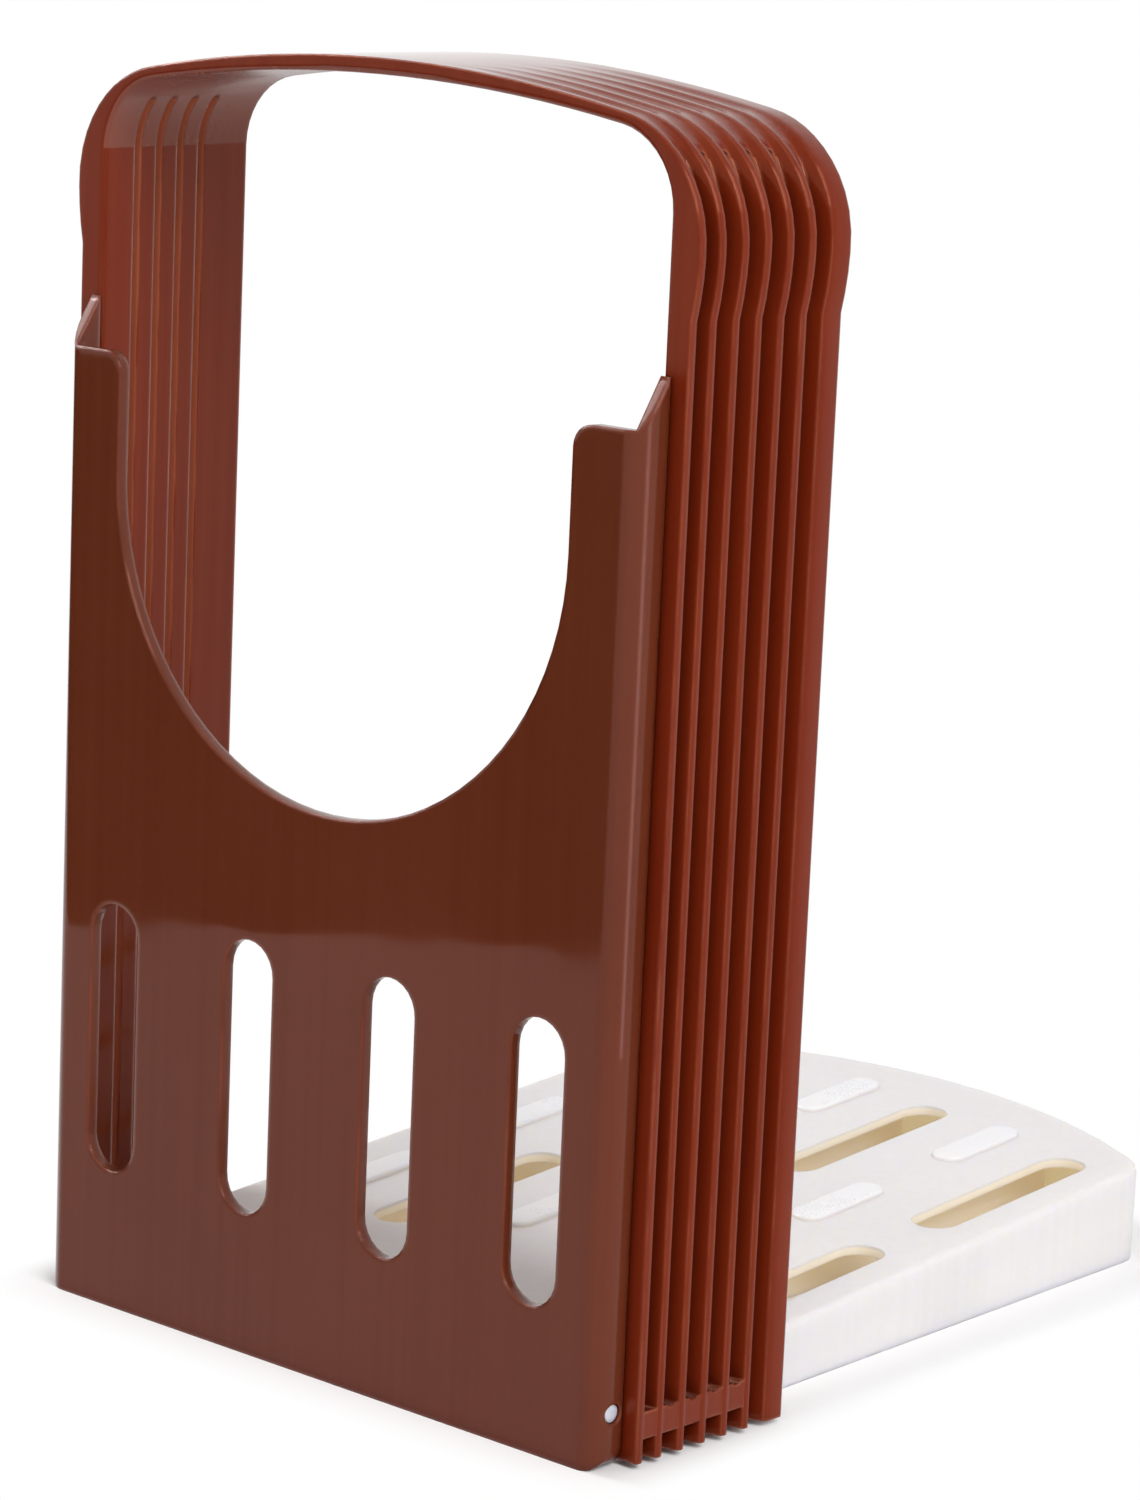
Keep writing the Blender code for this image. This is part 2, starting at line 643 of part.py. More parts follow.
def cavity_cutters():
    """Return the tools that hollow the base from below and leave stiffeners under the bars."""
    inner = BASE_HALF_WIDTH - BASE_WALL
    edges = [inner]
    for column in range(1, COLUMN_COUNT, 2):
        edges.append(column_place(column) + STIFFENER_WALL / 2)
        edges.append(column_place(column) - STIFFENER_WALL / 2)
    edges.append(-inner)
    tools = []
    for right, left in zip(edges[0::2], edges[1::2]):
        outline = [(left, BASE_FRONT + BASE_WALL), (right, BASE_FRONT + BASE_WALL)]
        for step in range(CAVITY_END_STEPS + 1):
            share = (1 - math.cos(math.pi * step / CAVITY_END_STEPS)) / 2
            across = right + (left - right) * share
            outline.append((across, CAVITY_PLAN.reach(across)))
        tools.append(prism(outline, "Z", -CUT_OVERRUN, deck(-BASE_DECK)))
    return gather(tools)


def slot_cutters():
    """Return the tools for the crumb slots through the base's top."""
    tools = []
    for column in range(0, COLUMN_COUNT, 2):
        stagger = SLOT_STAGGER if column % 4 else 0.0
        for row in range(SLOTS_IN_COLUMN):
            end = SLOT_LAST_END + stagger - SLOT_PITCH * row
            outline = stadium((column_place(column), end - SLOT_LENGTH / 2), SLOT_WIDTH, SLOT_LENGTH)
            tools.append(prism(outline, "Z", deck(-BASE_DECK - CUT_OVERRUN), deck(CUT_OVERRUN)))
    return gather(tools)


def raised_bars():
    """Return the rounded bars that stand on the base's top between the slots."""
    bars = []
    for column in range(1, COLUMN_COUNT, 2):
        stagger = 0.0 if column % 4 == 1 else BAR_STAGGER
        for row in range(BARS_IN_COLUMN):
            end = BAR_LAST_END + stagger - BAR_PITCH * row
            outline = stadium((column_place(column), end - BAR_LENGTH / 2), BAR_WIDTH, BAR_LENGTH)
            bar = prism(outline, "Z", deck(-WELD_DEPTH), deck(BAR_HEIGHT))
            bar.faces.ensure_lookup_table()
            top = max(bar.faces, key=lambda face: face.normal.z)
            bmesh.ops.bevel(bar, geom=list(top.edges), offset=BAR_SOFT_EDGE, segments=BAR_EDGE_STEPS,
                            profile=0.5, affect="EDGES")
            bars.append(bar)
    return gather(bars)


def pivot_ears():
    """Return the two round-topped ears on the base's front corners."""
    outline = arc((PIVOT_DEPTH, PIVOT_HEIGHT), EAR_RADIUS, 0.0, math.pi)
    outline += [(PIVOT_DEPTH - EAR_RADIUS, EAR_FOOT), (PIVOT_DEPTH + EAR_RADIUS, EAR_FOOT)]
    inner = BASE_HALF_WIDTH - EAR_DEPTH
    outer = BASE_HALF_WIDTH + EAR_PROUD
    return gather([prism(outline, "X", side * inner, side * outer) for side in (-1, 1)])


def make_base(parent, material):
    """Model the sloping base and put its origin on the hinge's axis."""
    base = add_object("base", base_block(), parent, material)
    shape_with(base, toe_cutter(), "DIFFERENCE")
    shape_with(base, cavity_cutters(), "DIFFERENCE")
    shape_with(base, slot_cutters(), "DIFFERENCE")
    shape_with(base, raised_bars(), "UNION")
    shape_with(base, pivot_ears(), "UNION")
    pins = side_rods(PIN_RADIUS, BASE_HALF_WIDTH - EAR_DEPTH / 2, PLATE_HALF_WIDTH - PIN_RECESS)
    shape_with(base, pins, "UNION")
    finish(base)
    hinge = Vector((0.0, PIVOT_DEPTH, PIVOT_HEIGHT))
    for vertex in base.data.vertices:
        vertex.co -= hinge
    base.location = hinge
    return base


def main():
    """Build the whole guide."""
    clear_scene()
    carrier = bpy.data.objects.new("guide_origin", None)
    bpy.context.collection.objects.link(carrier)
    carrier.location = (0.0, -BASE_LENGTH / 2, 0.0)
    brown = plastic("brown_plastic", BROWN, BROWN_ROUGHNESS)
    white = plastic("white_plastic", WHITE, WHITE_ROUGHNESS)
    make_stop_plate(carrier, brown)
    make_slit_arch(carrier, brown)
    make_base(carrier, white)
    bpy.context.view_layer.update()


main()
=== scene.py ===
"""Looks of a folding bread slicing guide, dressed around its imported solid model.

The guide has a glossy brown stop plate, a brown finned arch with knife slits and a
white sloping base that folds up into the arch. Everything is in metres, in the
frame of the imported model, and colours are linear.
"""

import logging
import math
from collections.abc import Sequence
from dataclasses import dataclass, field
from enum import Enum, IntEnum
from functools import partial, reduce
from typing import ClassVar

import bpy
from mathutils import Matrix, Vector


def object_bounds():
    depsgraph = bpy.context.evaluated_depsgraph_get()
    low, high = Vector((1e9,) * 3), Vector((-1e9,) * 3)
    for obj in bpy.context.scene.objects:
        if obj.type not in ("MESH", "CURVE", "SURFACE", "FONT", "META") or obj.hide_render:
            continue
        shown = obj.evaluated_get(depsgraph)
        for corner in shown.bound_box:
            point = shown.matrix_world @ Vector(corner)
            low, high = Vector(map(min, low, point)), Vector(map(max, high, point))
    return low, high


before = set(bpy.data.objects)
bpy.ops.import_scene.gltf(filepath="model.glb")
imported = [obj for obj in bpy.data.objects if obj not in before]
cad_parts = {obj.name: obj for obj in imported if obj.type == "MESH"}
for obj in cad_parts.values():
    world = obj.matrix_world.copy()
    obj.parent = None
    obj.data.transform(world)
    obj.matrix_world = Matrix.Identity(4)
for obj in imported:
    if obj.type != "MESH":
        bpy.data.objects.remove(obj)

CAD_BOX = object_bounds()
FRONT = CAD_BOX[0].y
BACK = CAD_BOX[1].y
MM = 0.001
log = logging.getLogger("bread_guide")

Colour = tuple[float, float, float]
Point = tuple[float, float, float]
# A span is where something starts, and where it ends or is full.
Span = tuple[float, float]
Feed = float | bool | Sequence[float] | bpy.types.NodeSocket

BLACK: Colour = (0.0, 0.0, 0.0)
WHITE: Colour = (1.0, 1.0, 1.0)
UP: Point = (0.0, 0.0, 1.0)
ORIGIN: Point = (0.0, 0.0, 0.0)


class Piece(Enum):
    """The guide's pieces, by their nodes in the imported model."""

    STOP_PLATE = "stop_plate"
    SLIT_ARCH = "slit_arch"
    BASE = "base"


class SocketKind(Enum):
    """The kinds of socket that a node group can have."""

    NUMBER = "NodeSocketFloat"
    COLOUR = "NodeSocketColor"
    VECTOR = "NodeSocketVector"
    SHAPE = "NodeSocketGeometry"


class MixSocket(IntEnum):
    """Where a mix node keeps the sockets that it uses for colours."""

    FACTOR = 0
    FIRST = 6
    SECOND = 7
    RESULT = 2


Sockets = dict[str, SocketKind]


def rgba(colour: Colour) -> tuple[float, float, float, float]:
    """Return a colour with full opacity."""
    return (*colour, 1.0)


@dataclass(frozen=True)
class Wiring:
    """A node tree that is being wired.

    Args:
        tree: the tree of a material, a world, a shared effect or a modifier.
    """

    tree: bpy.types.NodeTree

    def feed(self, node: bpy.types.Node, name: str | int, value: Feed) -> None:
        """Link another node's output to an input, or set a plain value on it.

        Args:
            node: the node that gets it.
            name: the input's name or its place in the list.
            value: the output or the plain value.
        """
        if isinstance(value, bpy.types.NodeSocket):
            self.tree.links.new(value, node.inputs[name])
        else:
            node.inputs[name].default_value = value

    def node(self, kind: str, feeds: dict[str | int, Feed] | None = None,
             **settings: object) -> bpy.types.Node:
        """Add a node.

        Args:
            kind: the node's type.
            feeds: what each input gets, a plain value or another node's output.
            settings: the node's own options.

        Returns:
            The new node.
        """
        made = self.tree.nodes.new(kind)
        for name, value in settings.items():
            setattr(made, name, value)
        for name, value in (feeds or {}).items():
            self.feed(made, name, value)
        return made

    def math(self, operation: str, *feeds: Feed) -> bpy.types.NodeSocket:
        """Add a sum of numbers and return its result."""
        made = self.node("ShaderNodeMath", dict(enumerate(feeds)), operation=operation)
        return made.outputs["Value"]

    def weighted(self, start: Feed, *terms: tuple[Feed, Feed]) -> Feed:
        """Add pairs of factors, each multiplied, to a start value and return the sum."""
        return reduce(lambda total, term: self.math("MULTIPLY_ADD", *term, total), terms, start)

    def all_of(self, *masks: Feed) -> Feed:
        """Multiply masks with each other and return what they share."""
        return reduce(partial(self.math, "MULTIPLY"), masks)

    def within(self, value: Feed, span: Span) -> Feed:
        """Return 1 where a value lies between a span's ends and 0 elsewhere."""
        return self.all_of(self.math("GREATER_THAN", value, span[0]),
                           self.math("LESS_THAN", value, span[1]))

    def ramp(self, value: Feed, span: Span) -> bpy.types.NodeSocket:
        """Add a soft step from 0 at a span's first end to 1 at its other and return its result."""
        feeds = {"Value": value, "From Min": span[0], "From Max": span[1]}
        return self.node("ShaderNodeMapRange", feeds, interpolation_type="SMOOTHSTEP").outputs["Result"]

    def vector(self, operation: str, *feeds: Feed) -> bpy.types.NodeSocket:
        """Add a sum of vectors and return its vector."""
        made = self.node("ShaderNodeVectorMath", dict(enumerate(feeds)), operation=operation)
        return made.outputs["Vector"]

    def dot(self, one: Feed, other: Feed) -> bpy.types.NodeSocket:
        """Add a dot product of two vectors and return its value."""
        made = self.node("ShaderNodeVectorMath", {0: one, 1: other}, operation="DOT_PRODUCT")
        return made.outputs["Value"]

    def length(self, vector: Feed) -> bpy.types.NodeSocket:
        """Return how long a vector is."""
        return self.node("ShaderNodeVectorMath", {0: vector}, operation="LENGTH").outputs["Value"]

    def stretched(self, place: Feed, share: Point) -> bpy.types.NodeSocket:
        """Return a place whose three lengths are each scaled by a share."""
        return self.vector("MULTIPLY", place, share)

    def part(self, vector: Feed, axis: str) -> bpy.types.NodeSocket:
        """Return a vector's part along the axis of that letter."""
        return self.node("ShaderNodeSeparateXYZ", {0: vector}).outputs[axis]

    def blend(self, mask: Feed, first: Feed, second: Feed) -> bpy.types.NodeSocket:
        """Add a mix of two colours and return its result."""
        feeds = {MixSocket.FACTOR: mask, MixSocket.FIRST: first, MixSocket.SECOND: second}
        return self.node("ShaderNodeMix", feeds, data_type="RGBA").outputs[MixSocket.RESULT]

    def noise(self, place: Feed, scale: Feed, detail: float) -> bpy.types.NodeSocket:
        """Add a cloud noise and return its value."""
        made = self.node("ShaderNodeTexNoise", {"Vector": place, "Scale": scale, "Detail": detail})
        return made.outputs["Fac"]


@dataclass
class SharedEffect:
    """A shader effect that several finishes use, built once as a node group.

    Args:
        tree: the group's tree, made with the effect.
    """

    name: ClassVar[str]
    inputs: ClassVar[Sockets]
    outputs: ClassVar[Sockets]
    tree: bpy.types.NodeTree = field(init=False)

    def __post_init__(self) -> None:
        """Make the group's sockets and wire what is between them."""
        self.tree = bpy.data.node_groups.new(self.name, "ShaderNodeTree")
        for way, sockets in (("INPUT", self.inputs), ("OUTPUT", self.outputs)):
            for name, kind in sockets.items():
                self.tree.interface.new_socket(name=name, in_out=way, socket_type=kind.value)
        wiring = Wiring(self.tree)
        wiring.node("NodeGroupOutput", self.wire(wiring, wiring.node("NodeGroupInput")))

    def wire(self, wiring: Wiring, start: bpy.types.Node) -> dict[str, Feed]:
        """Wire the effect between its inputs and outputs.

        Args:
            wiring: the group's tree.
            start: the node that holds the group's inputs.

        Returns:
            What each output puts out.
        """
        raise NotImplementedError

    def place(self, wiring: Wiring, **feeds: Feed) -> bpy.types.Node:
        """Put the effect into a material, fed by its inputs' names, and return its node."""
        return wiring.node("ShaderNodeGroup", feeds, node_tree=self.tree)


@dataclass
class MouldWaves(SharedEffect):
    """The slow waves of a moulded wall, which bend long reflections.

    Args:
        finer: how many times narrower the second wave is than the first.
        finer_share: how high the second wave is, against the first.
    """

    name: ClassVar[str] = "mould_waves"
    inputs: ClassVar[Sockets] = {"Place": SocketKind.VECTOR, "Breadth": SocketKind.NUMBER,
                                 "Rise": SocketKind.NUMBER}
    outputs: ClassVar[Sockets] = {"Height": SocketKind.NUMBER}
    finer: float = 2.9
    finer_share: float = 0.18

    def wire(self, wiring: Wiring, start: bpy.types.Node) -> dict[str, Feed]:
        """Add a broad wave and a finer one.

        Args:
            wiring: the group's tree.
            start: the node that holds the place, the waves' breadth and their rise.

        Returns:
            The waves' height in metres.
        """
        place = start.outputs["Place"]
        scale = wiring.math("DIVIDE", 1.0, start.outputs["Breadth"])
        broad = wiring.noise(place, scale, 0.0)
        narrow = wiring.noise(place, wiring.math("MULTIPLY", scale, self.finer), 0.0)
        both = wiring.weighted(broad, (narrow, self.finer_share))
        return {"Height": wiring.math("MULTIPLY", both, start.outputs["Rise"])}


@dataclass
class RoundedEdges(SharedEffect):
    """Edges with the small radius of a mould's corner, and a patchy mask of them on which a highlight is
    painted.

    Args:
        samples: how many rays look for an edge.
        turn: the span of the rounding's turn that makes the mask.
        patch_scale: how many patches of painted edge highlight there are along a metre.
        patch_detail: how ragged the patches are.
        patches: the span of noise that makes the patches.
    """

    name: ClassVar[str] = "rounded_edges"
    inputs: ClassVar[Sockets] = {"Radius": SocketKind.NUMBER, "Place": SocketKind.VECTOR}
    outputs: ClassVar[Sockets] = {"Normal": SocketKind.VECTOR, "Mask": SocketKind.NUMBER}
    samples: int = 6
    turn: Span = (0.01, 0.22)
    patch_scale: float = 70.0
    patch_detail: float = 4.0
    patches: Span = (0.32, 0.62)

    def wire(self, wiring: Wiring, start: bpy.types.Node) -> dict[str, Feed]:
        """Compare the rounded normal with the wall's own, and break the mask up in patches.

        Args:
            wiring: the group's tree.
            start: the node that holds the edges' radius and the place.

        Returns:
            The rounded normal and the patchy mask of the edges that get a painted highlight.
        """
        soft = wiring.node("ShaderNodeBevel", {"Radius": start.outputs["Radius"]}, samples=self.samples)
        wall = wiring.node("ShaderNodeNewGeometry").outputs["Normal"]
        turned = wiring.math("SUBTRACT", 1.0, wiring.dot(soft.outputs["Normal"], wall))
        cloud = wiring.noise(start.outputs["Place"], self.patch_scale, self.patch_detail)
        # Patchy mask of the edges, on which the brown finishes paint a highlight.
        rubbed = wiring.all_of(wiring.ramp(turned, self.turn), wiring.ramp(cloud, self.patches))
        return {"Normal": soft.outputs["Normal"], "Mask": rubbed}


@dataclass
class RubbedSkin(SharedEffect):
    """Where wiping and handling have dulled a skin, with hairline scratches along one way.

    Args:
        patch_detail: how ragged the dull patches are.
        patches: the span of noise that makes the patches.
        tilt_axis: the axis about which the scratches are tilted.
        tilt: how far they are tilted, in radians.
        stretch: how many noise cells a metre holds across and along the scratches.
        scratches: the span of noise that makes the scratches.
        group_scale: how many groups of scratches there are along a metre.
        groups: the span of noise that makes the groups.
    """

    name: ClassVar[str] = "rubbed_skin"
    inputs: ClassVar[Sockets] = {"Place": SocketKind.VECTOR, "Patch": SocketKind.NUMBER}
    outputs: ClassVar[Sockets] = {"Dull": SocketKind.NUMBER, "Hairlines": SocketKind.NUMBER}
    patch_detail: float = 5.0
    patches: Span = (0.35, 0.75)
    tilt_axis: Point = (0.3, 0.8, 0.2)
    tilt: float = 0.5
    stretch: Point = (900.0, 900.0, 26.0)
    scratches: Span = (0.70, 0.78)
    group_scale: float = 55.0
    groups: Span = (0.5, 0.7)

    def wire(self, wiring: Wiring, start: bpy.types.Node) -> dict[str, Feed]:
        """Make soft patches, and thin stretched lines that lie in groups.

        Args:
            wiring: the group's tree.
            start: the node that holds the place and how many patches a metre holds.

        Returns:
            The mask of the dull patches and that of the scratches.
        """
        place = start.outputs["Place"]
        dull = wiring.noise(place, start.outputs["Patch"], self.patch_detail)
        tilted = wiring.node("ShaderNodeVectorRotate",
                             {"Vector": place, "Axis": self.tilt_axis, "Angle": self.tilt},
                             rotation_type="AXIS_ANGLE")
        lines = wiring.noise(wiring.stretched(tilted.outputs["Vector"], self.stretch), 1.0, 1.0)
        grouped = wiring.ramp(wiring.noise(place, self.group_scale, 1.0), self.groups)
        return {"Dull": wiring.ramp(dull, self.patches),
                "Hairlines": wiring.all_of(wiring.ramp(lines, self.scratches), grouped)}


@dataclass
class FineGrain(SharedEffect):
    """The fine grain that a mould leaves in a plastic's skin.

    Args:
        detail: how ragged the grain is.
    """

    name: ClassVar[str] = "fine_grain"
    inputs: ClassVar[Sockets] = {"Place": SocketKind.VECTOR, "Grain": SocketKind.NUMBER,
                                 "Rise": SocketKind.NUMBER}
    outputs: ClassVar[Sockets] = {"Height": SocketKind.NUMBER, "Mask": SocketKind.NUMBER}
    detail: float = 2.0

    def wire(self, wiring: Wiring, start: bpy.types.Node) -> dict[str, Feed]:
        """Make a noise of the grain's size.

        Args:
            wiring: the group's tree.
            start: the node that holds the place, the grain's size and its rise.

        Returns:
            The grain's height in metres and a mask of its tops.
        """
        scale = wiring.math("DIVIDE", 1.0, start.outputs["Grain"])
        grain = wiring.noise(start.outputs["Place"], scale, self.detail)
        return {"Height": wiring.math("MULTIPLY", grain, start.outputs["Rise"]), "Mask": grain}


@dataclass
class FlowStreaks(SharedEffect):
    """Faint streaks of a lighter tone that run up a wall, as the plastic flowed in its mould.

    Args:
        stretch: how many noise cells a metre holds across and along the streaks.
        streak_detail: how ragged the streaks are.
        cloud_scale: how many broad clouds there are along a metre.
        cloud_detail: how ragged the clouds are.
        share: how much of the tone the streaks give, and also the clouds.
        tones: the span of noise that makes the lighter tone.
    """

    name: ClassVar[str] = "flow_streaks"
    inputs: ClassVar[Sockets] = {"Place": SocketKind.VECTOR, "Deep": SocketKind.COLOUR,
                                 "Light": SocketKind.COLOUR}
    outputs: ClassVar[Sockets] = {"Colour": SocketKind.COLOUR}
    stretch: Point = (420.0, 420.0, 7.0)
    streak_detail: float = 3.0
    cloud_scale: float = 16.0
    cloud_detail: float = 2.0
    share: float = 0.5
    tones: Span = (0.3, 0.7)

    def wire(self, wiring: Wiring, start: bpy.types.Node) -> dict[str, Feed]:
        """Mix the two tones by long upright streaks and a broad cloud.

        Args:
            wiring: the group's tree.
            start: the node that holds the place and the two tones.

        Returns:
            The streaked colour.
        """
        place = start.outputs["Place"]
        streaks = wiring.noise(wiring.stretched(place, self.stretch), 1.0, self.streak_detail)
        cloud = wiring.noise(place, self.cloud_scale, self.cloud_detail)
        both = wiring.weighted(0.0, (streaks, self.share), (cloud, self.share))
        tone = wiring.ramp(both, self.tones)
        return {"Colour": wiring.blend(tone, start.outputs["Deep"], start.outputs["Light"])}


@dataclass
class SettledDust(SharedEffect):
    """A thin dust of crumbs and flour on walls that look up in their piece's own frame.

    Args:
        upward: the span of looking up over which dust comes to lie.
        speck_scale: how many specks there are along a metre.
        speck_detail: how ragged the specks are.
        specks: the span of noise that makes the specks.
        film: how much dust lies between the specks, against the specks.
    """

    name: ClassVar[str] = "settled_dust"
    inputs: ClassVar[Sockets] = {"Place": SocketKind.VECTOR, "Amount": SocketKind.NUMBER}
    outputs: ClassVar[Sockets] = {"Mask": SocketKind.NUMBER}
    upward: Span = (0.55, 0.95)
    speck_scale: float = 900.0
    speck_detail: float = 3.0
    specks: Span = (0.52, 0.66)
    film: float = 0.3

    def wire(self, wiring: Wiring, start: bpy.types.Node) -> dict[str, Feed]:
        """Let fine specks and a film lie where the wall looks up.

        Args:
            wiring: the group's tree.
            start: the node that holds the place and the amount of dust.

        Returns:
            The mask of the dust.
        """
        facing = wiring.node("ShaderNodeTexCoord").outputs["Normal"]
        cloud = wiring.noise(start.outputs["Place"], self.speck_scale, self.speck_detail)
        thick = wiring.weighted(self.film, (wiring.ramp(cloud, self.specks), 1.0 - self.film))
        lying = wiring.ramp(wiring.dot(facing, UP), self.upward)
        return {"Mask": wiring.all_of(lying, thick, start.outputs["Amount"])}


@dataclass(frozen=True)
class Effects:
    """The shared effects, each built once."""

    waves: MouldWaves
    edges: RoundedEdges
    rubbed: RubbedSkin
    grain: FineGrain
    flow: FlowStreaks
    dust: SettledDust

    @classmethod
    def make(cls) -> "Effects":
        """Build every shared effect."""
        return cls(MouldWaves(), RoundedEdges(), RubbedSkin(), FineGrain(), FlowStreaks(), SettledDust())


@dataclass(frozen=True)
class Skin:
    """A plastic's material while it is being made.

    Args:
        material: the material.
        wiring: its tree.
        place: the place on the piece, in metres.
        facing: the way that its wall faces, in the piece's own frame.
        shader: its Principled shader.
    """

    material: bpy.types.Material
    wiring: Wiring
    place: bpy.types.NodeSocket
    facing: bpy.types.NodeSocket
    shader: bpy.types.Node

    @classmethod
    def start(cls, name: str) -> "Skin":
        """Start a material.

        Args:
            name: the material's name.

        Returns:
            The material with its shader and the nodes that say where a point lies.
        """
        material = bpy.data.materials.new(name)
        material.use_nodes = True
        wiring = Wiring(material.node_tree)
        outputs = wiring.node("ShaderNodeTexCoord").outputs
        return cls(material, wiring, outputs["Object"], outputs["Normal"],
                   material.node_tree.nodes["Principled BSDF"])


@dataclass(frozen=True)
class Coat:
    """What a clean skin looks like.

    Args:
        colour: its colour.
        rough: its roughness.
        height: how far it stands out, in metres.
    """

    colour: Feed
    rough: Feed
    height: Feed


@dataclass(frozen=True)
class Plastic:
    """A moulded plastic, with what the guide's two plastics have in common.

    Args:
        name: the material's name.
        roughness: how rough its cleanest patches are.
        dull: how much rougher its dullest patches are.
        patch_scale: how many dull patches there are along a metre.
        specular: the strength of its reflections.
        edge_radius: the radius of its edges.
        wave_breadth: the breadth of the mould's slow waves.
        wave_rise: how high those waves stand.
        grain_size: the size of the mould's grain.
        grain_rise: how high the grain stands.
        dust: the colour of settled dust.
        dust_amount: how thickly dust lies on it.
        dust_dull: how much rougher dust makes it.
        scatter: how much light goes into the plastic and out again.
        scatter_shares: how far red, green and blue light go in it, against each other.
        scatter_depth: how far the light goes that gets farthest.
    """

    name: str
    roughness: float
    dull: float
    patch_scale: float
    specular: float
    edge_radius: float
    wave_breadth: float
    wave_rise: float
    grain_size: float
    grain_rise: float
    dust: Colour
    dust_amount: float
    dust_dull: float
    scatter: float
    scatter_shares: Colour
    scatter_depth: float

    def coat(self, skin: Skin, effects: Effects, highlit_edges: Feed) -> Coat:
        """Wire the clean skin.

        Args:
            skin: the material that is being made.
            effects: the shared effects.
            highlit_edges: the mask of the edges that get a painted highlight.

        Returns:
            The skin before any dust lies on it.
        """
        raise NotImplementedError

    def streaked(self, skin: Skin, effects: Effects, deep: Colour, light: Colour) -> Feed:
        """Return a colour of two tones, in the streaks that the plastic's flow left."""
        flow = effects.flow.place(skin.wiring, Place=skin.place, Deep=rgba(deep), Light=rgba(light))
        return flow.outputs["Colour"]

    def rubbed(self, skin: Skin, effects: Effects) -> bpy.types.Node:
        """Return the node of what wiping and handling have dulled."""
        return effects.rubbed.place(skin.wiring, Place=skin.place, Patch=self.patch_scale)

    def waves(self, skin: Skin, effects: Effects) -> Feed:
        """Return the height of the mould's slow waves."""
        return effects.waves.place(skin.wiring, Place=skin.place, Breadth=self.wave_breadth,
                                   Rise=self.wave_rise).outputs["Height"]

    def grain(self, skin: Skin, effects: Effects) -> bpy.types.Node:
        """Return the node of the mould's fine grain."""
        return effects.grain.place(skin.wiring, Place=skin.place, Grain=self.grain_size,
                                   Rise=self.grain_rise)

    def make(self, effects: Effects) -> bpy.types.Material:
        """Make the material.

        Args:
            effects: the shared effects.

        Returns:
            The finished material.
        """
        skin = Skin.start(self.name)
        wiring = skin.wiring
        edges = effects.edges.place(wiring, Place=skin.place, Radius=self.edge_radius)
        dust = effects.dust.place(wiring, Place=skin.place, Amount=self.dust_amount).outputs["Mask"]
        coat = self.coat(skin, effects, edges.outputs["Mask"])
        relief = wiring.node("ShaderNodeBump", {"Height": coat.height, "Distance": 1.0,
                                                "Normal": edges.outputs["Normal"]})
        feeds = {
            "Base Color": wiring.blend(dust, coat.colour, rgba(self.dust)),
            "Roughness": wiring.weighted(coat.rough, (dust, self.dust_dull)),
            "Normal": relief.outputs["Normal"],
            "Specular IOR Level": self.specular,
            "Subsurface Weight": self.scatter,
            "Subsurface Radius": self.scatter_shares,
            "Subsurface Scale": self.scatter_depth,
        }
        for name, value in feeds.items():
            wiring.feed(skin.shader, name, value)
        return skin.material


